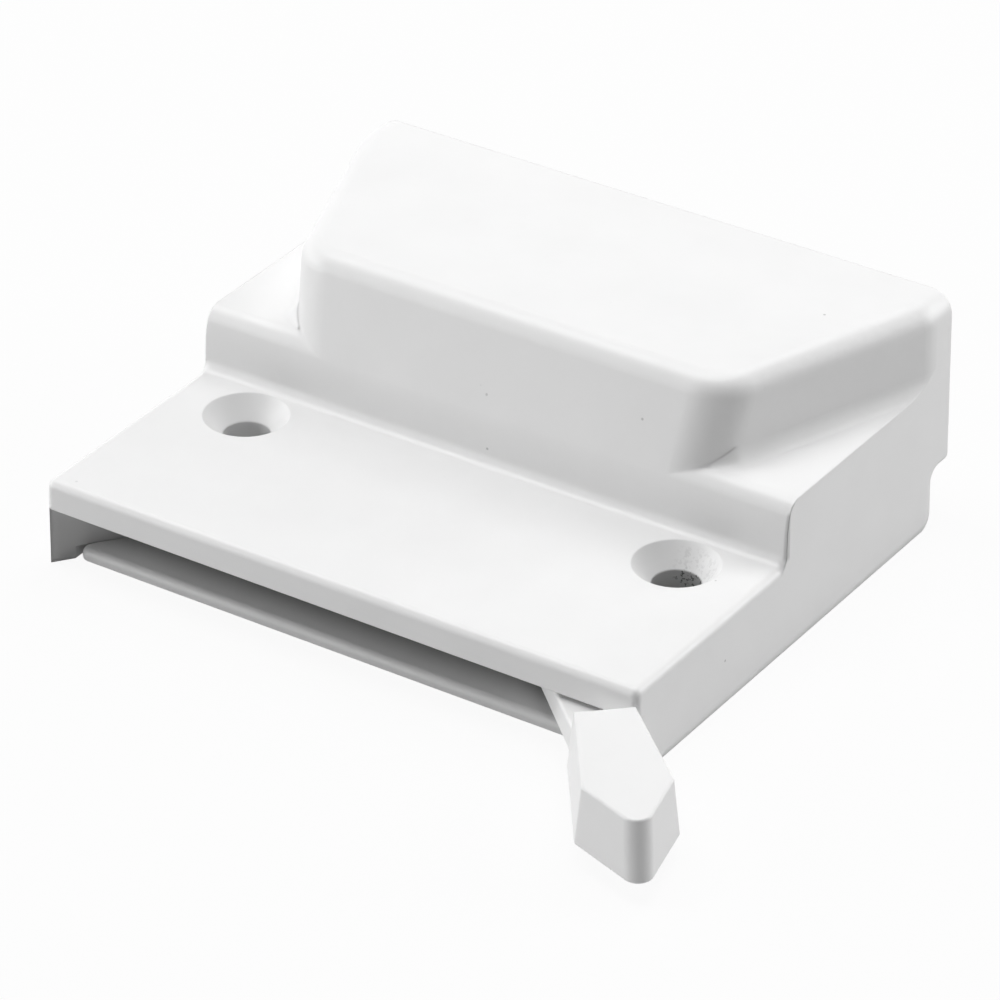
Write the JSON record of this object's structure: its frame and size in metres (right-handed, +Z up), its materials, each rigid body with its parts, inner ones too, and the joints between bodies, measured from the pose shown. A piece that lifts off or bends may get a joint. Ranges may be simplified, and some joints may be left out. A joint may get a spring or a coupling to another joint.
{
  "type": "casement window lock",
  "caption": "Surface-mounted casement window lock: white cast housing with a countersunk hole at each side, a swinging lever in the front slot and a claw that swings out of the rear slot.",
  "frame": {"origin": "on the underside, midway between the two mounting screw holes", "axes": "+X right seen from the lever side, +Y to the rear towards the sash, +Z up away from the window frame"},
  "size_m": [0.0933, 0.0869, 0.0288],
  "materials": {
    "white_coat_housing": "white powder coat on die-cast zinc, satin",
    "white_coat_plate": "white coated steel sheet, satin",
    "white_coat_lever": "white powder coat on die-cast zinc, satin",
    "zinc_screw": "bright zinc plated steel",
    "zinc_plate": "zinc plated pressed steel",
    "turned_steel": "turned bright steel",
    "spring_steel": "phosphated spring steel",
    "washer_plastic": "natural acetal"
  },
  "bodies": {
    "frame": {"housing": "white_coat_housing", "base_plate": "white_coat_plate", "base_screw_front_left": "zinc_screw", "base_screw_front_right": "zinc_screw", "base_screw_rear_left": "zinc_screw", "base_screw_rear_right": "zinc_screw", "lever_post": "turned_steel", "claw_post": "turned_steel", "lever_thrust_washer": "washer_plastic", "lever_spring_washer": "spring_steel", "lever_retaining_ring": "spring_steel", "claw_washer_lower": "washer_plastic", "claw_washer_upper": "washer_plastic"},
    "lever": {"lever": "white_coat_lever", "lever_link_pin": "turned_steel"},
    "link": {"link": "zinc_plate"},
    "claw": {"claw": "zinc_plate", "claw_link_pin": "turned_steel", "link_spacer": "turned_steel", "link_clip": "spring_steel"}
  },
  "joints": [
    {"name": "lever_swing", "type": "hinge", "parent": "frame", "child": "lever", "pos_m": [0, 0.0138, 0], "axis": [0, 0, -1], "range_deg": [0, 84.7]},
    {"name": "claw_swing", "type": "hinge", "parent": "frame", "child": "claw", "pos_m": [0.016, 0.0194, 0], "axis": [0, 0, -1], "range_deg": [0, 84.7]},
    {"name": "link_pivot", "type": "hinge", "parent": "lever", "child": "link", "pos_m": [-0.0088, 0.01855, 0.0141], "axis": [0, 0, -1], "range_deg": [-84.7, 0]}
  ],
  "couplings": [
    {"joint": "claw_swing", "follows": "lever_swing", "ratio": 1},
    {"joint": "link_pivot", "follows": "lever_swing", "ratio": -1}
  ]
}
